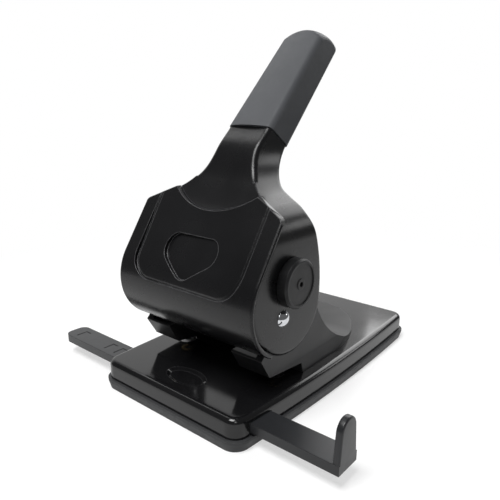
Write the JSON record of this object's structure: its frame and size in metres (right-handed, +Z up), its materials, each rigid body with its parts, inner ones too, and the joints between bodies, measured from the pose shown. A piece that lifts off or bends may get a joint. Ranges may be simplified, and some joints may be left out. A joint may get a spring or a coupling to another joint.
{
  "type": "lever hole punch",
  "caption": "Heavy-duty office hole punch: a long lever with a shield-shaped nose presses a pair of pins through paper on a flat base with a sliding paper guide and a chip tray.",
  "frame": {"origin": "centre of the chip tray's underside, on the surface that the punch stands on", "axes": "+Z up, -Y towards the user and the paper, +X to the right seen from the paper side, along the line of the holes"},
  "size_m": [0.242, 0.213, 0.2347],
  "materials": {
    "black_paint": "satin to gloss black paint",
    "tray_plastic": "mid-grey moulded plastic",
    "guide_plastic": "dark-grey moulded plastic",
    "grip_plastic": "fine-grained soft plastic",
    "knob_plastic": "satin black plastic",
    "chrome": "polished",
    "bearing_brass": "turned",
    "steel": "machined"
  },
  "bodies": {
    "base": {"base_shell": "black_paint", "guide_channel": "steel", "punch_frame": "black_paint", "frame_screws": "steel", "left_die": "steel", "right_die": "steel", "left_pin_guide": "bearing_brass", "right_pin_guide": "bearing_brass", "left_return_spring": "steel", "right_return_spring": "steel", "left_axle_bush": "bearing_brass", "right_axle_bush": "bearing_brass"},
    "tray": {"chip_tray": "tray_plastic"},
    "guide": {"guide_rule": "guide_plastic"},
    "lever": {"lever_shell": "black_paint", "front_cover": "black_paint", "grip_sleeve": "grip_plastic", "pivot_axle": "steel", "left_cam": "steel", "right_cam": "steel", "cam_cross_pins": "steel", "left_pivot_screw": "chrome", "right_pivot_screw": "chrome"},
    "knob": {"lock_knob": "knob_plastic", "lock_shaft": "steel", "lock_latch": "steel"},
    "left_pin": {"left_punch_pin": "steel"},
    "right_pin": {"right_punch_pin": "steel"}
  },
  "joints": [
    {"name": "lever_hinge", "type": "hinge", "parent": "base", "child": "lever", "pos_m": [0, -0.0575, 0.064], "axis": [-1, 0, 0], "range_deg": [0, 50], "stiffness_Nm_per_rad": 0.6, "springref_deg": -34.38},
    {"name": "left_pin_slide", "type": "slide", "parent": "base", "child": "left_pin", "axis": [0, 0, -1], "range_m": [0, 0.0104], "deforming": ["left_return_spring"]},
    {"name": "right_pin_slide", "type": "slide", "parent": "base", "child": "right_pin", "axis": [0, 0, -1], "range_m": [0, 0.0104], "deforming": ["right_return_spring"]},
    {"name": "knob_turn", "type": "hinge", "parent": "lever", "child": "knob", "pos_m": [0.058, -0.0499, 0.0848], "axis": [-1, 0, 0], "range_deg": [0, 90]},
    {"name": "guide_slide", "type": "slide", "parent": "base", "child": "guide", "axis": [1, 0, 0], "range_m": [-0.045, 0.055]},
    {"name": "tray_release", "type": "slide", "parent": "base", "child": "tray", "axis": [0, 0, -1], "range_m": [0, 0.03]}
  ],
  "couplings": [
    {"joint": "left_pin_slide", "follows": "lever_hinge", "m_per_rad": 0.011913},
    {"joint": "right_pin_slide", "follows": "lever_hinge", "m_per_rad": 0.011913}
  ]
}
